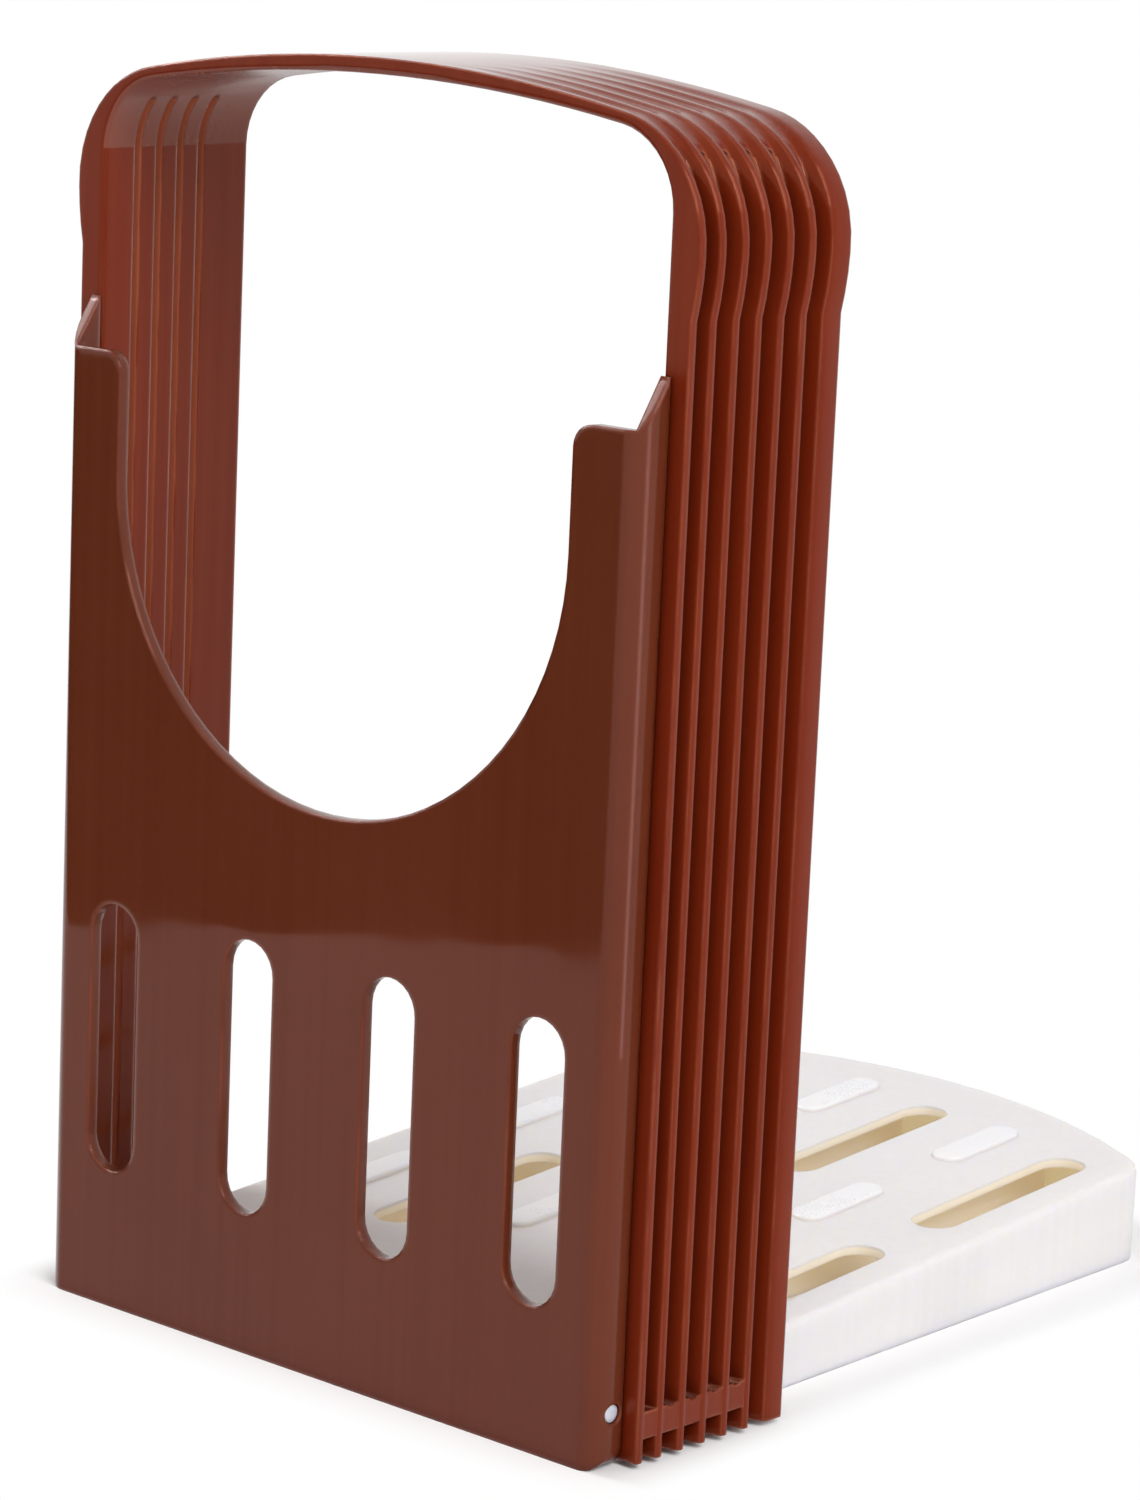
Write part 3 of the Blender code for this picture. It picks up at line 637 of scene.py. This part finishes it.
@dataclass(frozen=True)
class GlossyBrown(Plastic):
    """A polished brown plastic with a highlight painted on its edges, broken into patches, and shade
    painted in its narrow grooves.

    Args:
        deep: the colour of its darker streaks.
        light: the colour of its lighter streaks.
        painted_edge_highlight: the colour of the highlight painted on the edges, in patches.
        edge_highlight_share: how far the edges take that painted highlight.
        painted_groove_shade: the dark colour painted as shade deep in narrow grooves.
        groove_reach: how near its two walls a crease still counts as narrow.
        groove_samples: how many rays tell how open a place is.
        groove_open: the span of openness over which the painted shade sets in.
        gloss_tint: the tint of its reflections where they meet the eye head on.
        scratch_dull: how much rougher its hairline scratches are.
    """

    roughness: float = 0.035
    dull: float = 0.05
    patch_scale: float = 28.0
    specular: float = 0.35
    edge_radius: float = 1.2 * MM
    wave_breadth: float = 30.0 * MM
    wave_rise: float = 0.2 * MM
    grain_size: float = 0.6 * MM
    grain_rise: float = 0.0005 * MM
    dust: Colour = (0.55, 0.46, 0.38)
    dust_amount: float = 0.04
    dust_dull: float = 0.9
    scatter: float = 0.25
    scatter_shares: Colour = (1.0, 0.22, 0.08)
    scatter_depth: float = 1.6 * MM
    deep: Colour = (0.116, 0.0245, 0.0096)
    light: Colour = (0.133, 0.0305, 0.0130)
    # Painted highlight on the edges, broken into patches.
    painted_edge_highlight: Colour = (0.30, 0.070, 0.028)
    edge_highlight_share: float = 0.55
    # Painted shade in narrow grooves.
    painted_groove_shade: Colour = (0.080, 0.0080, 0.0018)
    groove_reach: float = 4.0 * MM
    groove_samples: int = 4
    groove_open: Span = (0.80, 0.35)
    gloss_tint: Colour = (1.0, 0.60, 0.58)
    scratch_dull: float = 0.10

    def coat(self, skin: Skin, effects: Effects, highlit_edges: Feed) -> Coat:
        """Wire the clean brown skin.

        Args:
            skin: the material that is being made.
            effects: the shared effects.
            highlit_edges: the mask of the edges that get a painted highlight.

        Returns:
            The skin before any dust lies on it.
        """
        wiring = skin.wiring
        wiring.feed(skin.shader, "Specular Tint", rgba(self.gloss_tint))
        colour = self.streaked(skin, effects, self.deep, self.light)
        # Painted shade: darker in narrow grooves and creases, found by ambient occlusion.
        colour = wiring.blend(self.painted_groove_shade_mask(wiring), colour, rgba(self.painted_groove_shade))
        # Painted highlight on the edges, broken into patches.
        colour = wiring.blend(wiring.all_of(highlit_edges, self.edge_highlight_share), colour, rgba(self.painted_edge_highlight))
        rubbed = self.rubbed(skin, effects).outputs
        rough = wiring.weighted(self.roughness, (rubbed["Dull"], self.dull),
                                (rubbed["Hairlines"], self.scratch_dull))
        grain = self.grain(skin, effects).outputs["Height"]
        return Coat(colour, rough, wiring.math("ADD", self.waves(skin, effects), grain))

    def painted_groove_shade_mask(self, wiring: Wiring) -> Feed:
        """Return a mask of narrow grooves and creases, found by ambient occlusion, for painted shade."""
        openness = wiring.node("ShaderNodeAmbientOcclusion", {"Distance": self.groove_reach},
                               samples=self.groove_samples)
        return wiring.ramp(openness.outputs["AO"], self.groove_open)


@dataclass(frozen=True)
class ArchBrown(GlossyBrown):
    """The arch's redder brown, with light painted on its slits' walls and a greyish reflection painted
    on the rougher inner skin inside its crown.

    Args:
        painted_slit_light: a lighter colour painted on the slits' walls, where they are shaded deep in
            the slits.
        arch_front: where the arch's front face is, along Y.
        flare: how much wider the arch gets towards its back, per metre.
        corner_centre: the centre of its inner corner's rounding.
        inner_skin: the span of the inner skin, measured from there.
        slits: the span of the slits, measured from the front face.
        squarely: how squarely a slit's wall looks along the base.
        painted_sheen: a greyish colour painted on the inner skin above the line, as a reflection.
        frost_dull: how much rougher the inner skin above the line is.
        frost_rise: how much thicker it is.
        arch_middle: the height of the middle of the arch.
        inner_reach: how far from that middle the inner skin is at least.
        line_height: the height of the line where that rougher skin with its painted reflection starts.
        line_soft: half the breadth of that line.
    """

    deep: Colour = (0.150, 0.0140, 0.0030)
    light: Colour = (0.180, 0.0210, 0.0055)
    # A brighter painted highlight on the fins' edges.
    painted_edge_highlight: Colour = (0.42, 0.140, 0.075)
    edge_highlight_share: float = 0.8
    gloss_tint: Colour = (1.0, 0.46, 0.30)
    edge_radius: float = 0.9 * MM
    wave_rise: float = 0.03 * MM
    # Painted light on the slits' walls.
    painted_slit_light: Colour = (0.42, 0.120, 0.060)
    arch_front: float = -90.4 * MM
    flare: float = 0.687
    corner_centre: Point = (53.8 * MM, 0.0, 218.0 * MM)
    inner_skin: Span = (13.8 * MM, 16.1 * MM)
    slits: Span = (4.0 * MM, 35.0 * MM)
    squarely: float = 0.8
    # Painted greyish reflection on the inner skin above the line.
    painted_sheen: Colour = (0.20, 0.062, 0.045)
    frost_dull: float = 0.22
    frost_rise: float = 0.02 * MM
    arch_middle: float = 120.0 * MM
    inner_reach: float = 30.0 * MM
    line_height: float = 218.4 * MM
    line_soft: float = 0.15 * MM

    def coat(self, skin: Skin, effects: Effects, highlit_edges: Feed) -> Coat:
        """Wire the clean brown skin with the painted light on its slits' walls and the painted
        reflection above the line.

        Args:
            skin: the material that is being made.
            effects: the shared effects.
            highlit_edges: the mask of the edges that get a painted highlight.

        Returns:
            The skin before any dust lies on it.
        """
        wiring = skin.wiring
        plain = super().coat(skin, effects, highlit_edges)
        frost_and_sheen = self.frost_and_sheen_mask(skin)
        # Painted light on the slits' walls, which are shaded deep in the slits.
        colour = wiring.blend(self.painted_slit_light_mask(skin), plain.colour, rgba(self.painted_slit_light))
        # Painted greyish reflection on the rougher inner skin above the line.
        return Coat(wiring.blend(frost_and_sheen, colour, rgba(self.painted_sheen)),
                    wiring.weighted(plain.rough, (frost_and_sheen, self.frost_dull)),
                    wiring.weighted(plain.height, (frost_and_sheen, self.frost_rise)))

    def painted_slit_light_mask(self, skin: Skin) -> Feed:
        """Find the slits' own walls in the arch's inner skin.

        Args:
            skin: the material that is being made.

        Returns:
            1 on the slits' walls and 0 elsewhere.
        """
        wiring = skin.wiring
        along = wiring.math("ABSOLUTE", wiring.part(skin.facing, "Y"))
        behind = wiring.math("SUBTRACT", wiring.part(skin.place, "Y"), self.arch_front)
        widening = wiring.weighted(1.0, (behind, self.flare))
        across = wiring.math("DIVIDE", wiring.math("ABSOLUTE", wiring.part(skin.place, "X")), widening)
        profile = wiring.node("ShaderNodeCombineXYZ", {"X": across, "Z": wiring.part(skin.place, "Z")})
        past = wiring.vector("SUBTRACT", profile.outputs[0], self.corner_centre)
        depth = wiring.length(wiring.vector("MAXIMUM", past, ORIGIN))
        return wiring.all_of(wiring.math("GREATER_THAN", along, self.squarely),
                             wiring.within(depth, self.inner_skin), wiring.within(behind, self.slits))

    def frost_and_sheen_mask(self, skin: Skin) -> Feed:
        """Find the inner skin above the line, which is rougher and gets a painted greyish reflection.

        Args:
            skin: the material that is being made.

        Returns:
            1 on that skin and 0 elsewhere, soft across the line.
        """
        wiring = skin.wiring
        from_middle = wiring.vector("SUBTRACT", skin.place, (0.0, 0.0, self.arch_middle))
        outward = wiring.dot(skin.facing, wiring.stretched(from_middle, (1.0, 0.0, 1.0)))
        line = (self.line_height - self.line_soft, self.line_height + self.line_soft)
        return wiring.all_of(wiring.math("LESS_THAN", outward, -self.inner_reach),
                             wiring.ramp(wiring.part(skin.place, "Z"), line))


@dataclass(frozen=True)
class SatinWhite(Plastic):
    """A satin white plastic, with warm light painted inside its slots and under its deck, and a
    highlight painted on its raised bars.

    Args:
        deck: the colour of the deck.
        aged: the colour of its yellower patches.
        painted_bar_highlight: the lighter colour painted on the raised bars as a highlight.
        painted_cavity_light: a warm colour painted inside the slots and under the deck, for the warm
            light bounced in there.
        glow: a painted glow, emitted inside the slots and under the deck, that stands in for light
            coming through the thin deck.
        grain_dull: how much rougher the grain's tops are.
        bar_smooth: how much smoother the raised bars are.
        scratch_depth: how deep its hairline scratches are.
        deck_front: the deck's height at the base's front end.
        deck_rise: how much higher the deck is at its far end.
        bar_height: how proud the bars stand.
        bar_wall: the span of that height, in shares, over which the bars take their painted highlight.
        hollow_start: the span of height above the deck over which the painted warm light and glow set
            in.
        half_width: half the base's width.
        end_radius: the radius of its rounded far end.
        outer_skin: the depth of its outer skin.
        front_wall: the thickness of its front wall.
        corner_reach: how far from the middle a corner's outer wall is at least.
    """

    roughness: float = 0.30
    dull: float = 0.14
    patch_scale: float = 40.0
    specular: float = 0.4
    edge_radius: float = 0.5 * MM
    wave_breadth: float = 30.0 * MM
    wave_rise: float = 0.01 * MM
    grain_size: float = 0.35 * MM
    grain_rise: float = 0.006 * MM
    dust: Colour = (0.66, 0.58, 0.47)
    dust_amount: float = 0.06
    dust_dull: float = 0.0
    scatter: float = 0.6
    scatter_shares: Colour = (1.0, 0.75, 0.40)
    scatter_depth: float = 10.0 * MM
    deck: Colour = (0.79, 0.755, 0.765)
    aged: Colour = (0.76, 0.725, 0.715)
    # Painted highlight on the raised bars.
    painted_bar_highlight: Colour = (0.88, 0.86, 0.86)
    # Painted warm light inside the slots and under the deck.
    painted_cavity_light: Colour = (0.86, 0.80, 0.70)
    # Painted glow inside the slots and under the deck.
    glow: Colour = (0.110, 0.080, 0.045)
    grain_dull: float = 0.10
    bar_smooth: float = 0.08
    scratch_depth: float = 0.01 * MM
    deck_front: float = 8.7 * MM
    deck_rise: float = 12.1 * MM
    bar_height: float = 0.9 * MM
    bar_wall: Span = (0.25, 0.75)
    hollow_start: Span = (-0.3 * MM, -0.9 * MM)
    half_width: float = 64.3 * MM
    end_radius: float = 120.2 * MM
    outer_skin: float = 1.0 * MM
    front_wall: float = 3.5 * MM
    corner_reach: float = 70.0 * MM

    def coat(self, skin: Skin, effects: Effects, highlit_edges: Feed) -> Coat:
        """Wire the clean white skin, which doesn't use the painted edge highlight.

        Args:
            skin: the material that is being made.
            effects: the shared effects.
            highlit_edges: the mask of the edges that get a painted highlight; not used.

        Returns:
            The skin before any dust lies on it.
        """
        wiring = skin.wiring
        level = self.above_deck(skin)
        inside = self.painted_cavity_mask(skin, level)
        low, high = self.bar_wall
        bars = wiring.ramp(level, (low * self.bar_height, high * self.bar_height))
        # Painted glow: emission inside the slots and under the deck, for light through the thin deck.
        wiring.feed(skin.shader, "Emission Color", wiring.blend(inside, rgba(BLACK), rgba(self.glow)))
        wiring.feed(skin.shader, "Emission Strength", 1.0)
        colour = self.streaked(skin, effects, self.aged, self.deck)
        # Painted highlight on the raised bars.
        colour = wiring.blend(bars, colour, rgba(self.painted_bar_highlight))
        # Painted warm light inside the slots and under the deck.
        colour = wiring.blend(inside, colour, rgba(self.painted_cavity_light))
        rubbed = self.rubbed(skin, effects).outputs
        grain = self.grain(skin, effects).outputs
        rough = wiring.weighted(self.roughness, (rubbed["Dull"], self.dull),
                                (grain["Mask"], self.grain_dull), (bars, -self.bar_smooth))
        height = wiring.math("ADD", self.waves(skin, effects), grain["Height"])
        return Coat(colour, rough, wiring.weighted(height, (rubbed["Hairlines"], -self.scratch_depth)))

    def above_deck(self, skin: Skin) -> Feed:
        """Find how far a place stands above the sloping deck.

        Args:
            skin: the material that is being made.

        Returns:
            The height above the deck, in metres.
        """
        slope = self.deck_rise / (BACK - FRONT)
        tilt = skin.wiring.dot(skin.place, (0.0, -slope, 1.0))
        return skin.wiring.math("SUBTRACT", tilt, self.deck_front - slope * FRONT)

    def painted_cavity_mask(self, skin: Skin, level: Feed) -> Feed:
        """Find the slots' walls and the space under the deck, where warm light and a glow are painted.

        Args:
            skin: the material that is being made.
            level: how far a place stands above the deck.

        Returns:
            1 inside the shell and 0 on its outer skin.
        """
        wiring = skin.wiring
        flat = wiring.stretched(skin.place, (1.0, 1.0, 0.0))
        across = wiring.math("ABSOLUTE", wiring.part(flat, "X"))
        from_centre = wiring.vector("SUBTRACT", flat, (0.0, BACK - self.end_radius, 0.0))
        return wiring.all_of(
            wiring.math("LESS_THAN", across, self.half_width - self.outer_skin),
            wiring.math("GREATER_THAN", wiring.part(flat, "Y"), FRONT + self.front_wall),
            wiring.math("LESS_THAN", wiring.length(from_centre), self.end_radius - self.outer_skin),
            wiring.math("LESS_THAN", wiring.dot(skin.facing, flat), self.corner_reach),
            wiring.ramp(level, self.hollow_start))


def put_up(name: str, data: bpy.types.ID) -> bpy.types.Object:
    """Add an object to the scene.

    Args:
        name: the object's name.
        data: its mesh, lamp or camera.

    Returns:
        The new object.
    """
    made = bpy.data.objects.new(name, data)
    bpy.context.scene.collection.objects.link(made)
    return made


def bare_material(name: str) -> tuple[bpy.types.Material, Wiring]:
    """Make a material without any node.

    Args:
        name: the material's name.

    Returns:
        The material and its wiring.
    """
    material = bpy.data.materials.new(name)
    material.use_nodes = True
    material.node_tree.nodes.clear()
    return material, Wiring(material.node_tree)


def flat_sheet(name: str, width: float, height: float, material: bpy.types.Material) -> bpy.types.Object:
    """Add a flat rectangle that lies about the origin.

    Args:
        name: the sheet's name.
        width: its width.
        height: its height.
        material: what it is made of.

    Returns:
        The sheet.
    """
    across, up = width / 2, height / 2
    mesh = bpy.data.meshes.new(name)
    mesh.from_pydata([(-across, -up, 0), (across, -up, 0), (across, up, 0), (-across, up, 0)],
                     [], [(0, 1, 2, 3)])
    mesh.materials.append(material)
    return put_up(name, mesh)


def aimed(place: Point, aim: Point) -> Matrix:
    """Return the placing of something that stands at a place and looks at an aim."""
    turn = (Vector(aim) - Vector(place)).to_track_quat("-Z", "Y")
    return Matrix.Translation(Vector(place)) @ turn.to_matrix().to_4x4()


@dataclass(frozen=True)
class PhotoCamera:
    """The camera at the photograph's viewing angle.

    Args:
        name: the camera's name.
        place: where the lens is.
        yaw: how far the view turns left of straight along the depth, in degrees.
        pitch: how far it looks down, in degrees.
        roll: how far the picture leans, in degrees.
        focal_pixels: the focal length in pixels of the photograph.
        picture_width: the photograph's width in pixels.
        sensor_width: the sensor's width in millimetres.
        clip: the span of distance that the camera sees.
    """

    name: str = "photo_camera"
    place: Point = (0.54314, -0.66698, 0.27936)
    yaw: float = 40.47
    pitch: float = 11.53
    roll: float = 2.5
    focal_pixels: float = 4501.3
    picture_width: float = 1140.0
    sensor_width: float = 36.0
    clip: Span = (0.01, 100.0)

    def make(self) -> None:
        """Set the camera up as the scene's camera."""
        yaw, pitch, roll = (math.radians(angle) for angle in (self.yaw, self.pitch, self.roll))
        forward = Vector((-math.sin(yaw) * math.cos(pitch), math.cos(yaw) * math.cos(pitch),
                          -math.sin(pitch)))
        level = Vector((math.cos(yaw), math.sin(yaw), 0.0))
        upright = level.cross(forward)
        right = level * math.cos(roll) + upright * math.sin(roll)
        above = upright * math.cos(roll) - level * math.sin(roll)
        data = bpy.data.cameras.new(self.name)
        data.sensor_fit = "HORIZONTAL"
        data.sensor_width = self.sensor_width
        data.lens = self.focal_pixels * self.sensor_width / self.picture_width
        data.clip_start, data.clip_end = self.clip
        camera = put_up(self.name, data)
        turn = Matrix((right, above, -forward)).transposed().to_4x4()
        camera.matrix_world = Matrix.Translation(Vector(self.place)) @ turn
        bpy.context.scene.camera = camera


@dataclass(frozen=True)
class Stand:
    """Something flat in the studio that looks at the guide.

    Args:
        name: its name.
        place: where its middle is.
        aim: the point that it looks at.
        width: its width.
        height: its height.
    """

    name: str
    place: Point
    aim: Point
    width: float
    height: float


@dataclass(frozen=True)
class AreaLamp(Stand):
    """A soft lamp.

    Args:
        power: its power in watts.
    """

    power: float

    def make(self) -> None:
        """Hang the lamp."""
        data = bpy.data.lights.new(self.name, "AREA")
        data.shape = "RECTANGLE"
        data.size = self.width
        data.size_y = self.height
        data.energy = self.power
        put_up(self.name, data).matrix_world = aimed(self.place, self.aim)


@dataclass(frozen=True)
class GlossCard(Stand):
    """A card that only shows in gloss, black or glowing.

    Args:
        glow: how brightly it glows; nothing for a black card.
    """

    glow: float = 0.0

    def make(self) -> None:
        """Put the card up."""
        material, wiring = bare_material(self.name)
        light = wiring.node("ShaderNodeEmission", {"Strength": self.glow})
        wiring.node("ShaderNodeOutputMaterial", {"Surface": light.outputs[0]})
        card = flat_sheet(self.name, self.width, self.height, material)
        card.matrix_world = aimed(self.place, self.aim)
        card.visible_camera = False
        card.visible_diffuse = False
        card.visible_transmission = False
        card.visible_shadow = False


@dataclass(frozen=True)
class Studio:
    """The pale floor, the lamps, the cards and the white surroundings.

    Args:
        floor_side: the floor's side.
        floor_colour: the floor's own colour.
        world_level: how bright the surroundings light the guide.
        footprint: half the guide's width and half its depth on the floor.
        fade: the span of distance from the guide over which the floor turns pure white.
        lamps: the soft lamps.
        cards: the cards that the brown plastic reflects.
    """

    floor_side: float = 28.0
    floor_colour: Colour = (0.95, 0.95, 0.95)
    world_level: float = 0.46
    footprint: tuple[float, float] = (0.070, BACK)
    fade: Span = (0.0, 0.013)
    lamps: tuple[AreaLamp, ...] = (
        AreaLamp("key_lamp", place=(1.0, -0.42, 0.95), aim=(0.0, 0.0, 0.10), width=0.7, height=0.7,
                 power=13.0),
        AreaLamp("left_lamp", place=(-0.85, -0.2, 0.9), aim=(0.0, 0.0, 0.15), width=0.3, height=0.3,
                 power=5.0),
    )
    cards: tuple[GlossCard, ...] = (
        GlossCard("black_card", place=(-0.4135, -0.191, 0.0735), aim=(0.0, 0.3226, 0.0735),
                  width=0.863, height=0.147),
        GlossCard("bright_card", place=(-0.85, -0.2, 0.9), aim=(0.0, -0.05, 0.15), width=0.9, height=0.9,
                  glow=7.0),
        GlossCard("side_card", place=(0.34, -0.11, 0.11), aim=(0.07, -0.09, 0.11), width=0.06,
                  height=0.22, glow=4.0),
    )

    @staticmethod
    def shown(wiring: Wiring) -> Feed:
        """Find what the camera sees.

        Args:
            wiring: the tree of the floor's material or the world.

        Returns:
            1 for what is seen straight, in gloss or through glass, and 0 for what lights the guide.
        """
        path = wiring.node("ShaderNodeLightPath").outputs
        seen = wiring.math("MAXIMUM", path["Is Camera Ray"], path["Is Glossy Ray"])
        return wiring.math("MAXIMUM", seen, path["Is Transmission Ray"])

    def floor_material(self) -> bpy.types.Material:
        """Make a matt white that the camera sees turn pure white away from the guide.

        Returns:
            The floor's material.
        """
        material, wiring = bare_material("studio_floor")
        matt = wiring.node("ShaderNodeBsdfDiffuse", {"Color": rgba(self.floor_colour)})
        glow = wiring.node("ShaderNodeEmission", {"Strength": 1.0})
        place = wiring.node("ShaderNodeNewGeometry").outputs["Position"]
        outside = wiring.vector("SUBTRACT", wiring.vector("ABSOLUTE", place), (*self.footprint, 0.0))
        distance = wiring.length(wiring.vector("MAXIMUM", outside, ORIGIN))
        pure = wiring.all_of(wiring.ramp(distance, self.fade), self.shown(wiring))
        mix = wiring.node("ShaderNodeMixShader", {0: pure, 1: matt.outputs[0], 2: glow.outputs[0]})
        wiring.node("ShaderNodeOutputMaterial", {"Surface": mix.outputs[0]})
        return material

    def lay_floor(self) -> None:
        """Lay the floor."""
        floor = flat_sheet("floor", self.floor_side, self.floor_side, self.floor_material())

    def light_world(self) -> None:
        """Fill the surroundings with an even white light, which the camera sees as pure white."""
        world = bpy.data.worlds.new("studio")
        world.use_nodes = True
        world.node_tree.nodes.clear()
        wiring = Wiring(world.node_tree)
        soft, white = (wiring.node("ShaderNodeBackground", {"Color": rgba(WHITE), "Strength": level})
                       for level in (self.world_level, 1.0))
        mix = wiring.node("ShaderNodeMixShader", {0: self.shown(wiring), 1: soft.outputs[0],
                                                  2: white.outputs[0]})
        wiring.node("ShaderNodeOutputWorld", {"Surface": mix.outputs[0]})
        bpy.context.scene.world = world

    def build(self) -> None:
        """Put up the whole studio."""
        self.lay_floor()
        self.light_world()
        for stand in (*self.lamps, *self.cards):
            stand.make()
            log.info("%s put up", stand.name)
        bpy.context.scene.view_settings.view_transform = "Standard"


@dataclass(frozen=True)
class SmoothShading:
    """Shading that runs smoothly over a moulding's curves and stays crisp at its edges.

    Args:
        name: the name of its modifier and node tree.
        crisp_angle: the least angle between two faces that stays an edge, in degrees.
        weld: the distance within which the model's split corners are one.
        area_weight: how much more a large face counts than a small one.
    """

    name: str = "smooth_shading"
    crisp_angle: float = 30.0
    weld: float = 0.002 * MM
    area_weight: int = 100

    def tree(self) -> bpy.types.NodeTree:
        """Make the node tree that joins split corners and marks the crisp edges.

        Returns:
            The tree.
        """
        tree = bpy.data.node_groups.new(self.name, "GeometryNodeTree")
        for way in ("INPUT", "OUTPUT"):
            tree.interface.new_socket(name="Shape", in_out=way, socket_type=SocketKind.SHAPE.value)
        wiring = Wiring(tree)
        start = wiring.node("NodeGroupInput")
        welded = wiring.node("GeometryNodeMergeByDistance",
                             {"Geometry": start.outputs[0], "Distance": self.weld})
        soft = wiring.node("GeometryNodeSetShadeSmooth",
                           {"Geometry": welded.outputs[0], "Shade Smooth": True}, domain="FACE")
        angle = wiring.node("GeometryNodeInputMeshEdgeAngle").outputs["Unsigned Angle"]
        crisp = wiring.math("GREATER_THAN", angle, math.radians(self.crisp_angle))
        edged = wiring.node("GeometryNodeSetShadeSmooth",
                            {"Geometry": soft.outputs[0], "Selection": crisp, "Shade Smooth": False},
                            domain="EDGE")
        wiring.node("NodeGroupOutput", {0: edged.outputs[0]})
        return tree

    def apply(self, solid: bpy.types.Object) -> None:
        """Shade a solid.

        Args:
            solid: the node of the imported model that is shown.
        """
        if "custom_normal" in solid.data.attributes:
            solid.data.attributes.remove(solid.data.attributes["custom_normal"])
        smooth = solid.modifiers.new(self.name, "NODES")
        smooth.node_group = self.tree()
        weighted = solid.modifiers.new("weighted_normals", "WEIGHTED_NORMAL")
        weighted.mode = "FACE_AREA"
        weighted.weight = self.area_weight
        weighted.keep_sharp = True


@dataclass(frozen=True)
class Moulding:
    """One moulded piece of the guide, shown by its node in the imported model.

    Args:
        shading: how its curves are shaded.
        piece: which piece it is.
        finish: its plastic.
    """

    shading: SmoothShading
    piece: Piece
    finish: Plastic

    @property
    def solid(self) -> bpy.types.Object:
        """Return the piece's node."""
        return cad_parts[self.piece.value]

    def build(self) -> None:
        """Smooth the piece's curves."""
        self.shading.apply(self.solid)

    def dress(self, effects: Effects) -> None:
        """Give the piece its plastic and report it.

        Args:
            effects: the shared effects.
        """
        materials = self.solid.data.materials
        materials.clear()
        materials.append(self.finish.make(effects))
        log.info("%s dressed in %s", self.piece.value, self.finish.name)


@dataclass(frozen=True)
class StopPlate(Moulding):
    """The front panel with its hand cut-out, windows, horns and side walls."""

    piece: Piece = Piece.STOP_PLATE
    finish: Plastic = GlossyBrown("chocolate_plate")


@dataclass(frozen=True)
class SlitArch(Moulding):
    """The finned arch with its knife slits and rear rim."""

    piece: Piece = Piece.SLIT_ARCH
    finish: Plastic = ArchBrown("chocolate_arch")


@dataclass(frozen=True)
class SlopingBase(Moulding):
    """The white sloping shell with its crumb slots, raised bars and stub pins."""

    piece: Piece = Piece.BASE
    finish: Plastic = SatinWhite("satin_white")


def main() -> None:
    """Build the studio and dress every piece of the guide."""
    logging.basicConfig(level=logging.INFO, format="%(name)s: %(message)s")
    PhotoCamera().make()
    Studio().build()
    effects = Effects.make()
    shading = SmoothShading()
    for moulding in (StopPlate(shading), SlitArch(shading), SlopingBase(shading)):
        moulding.build()
        moulding.dress(effects)


if __name__ == "__main__":
    main()
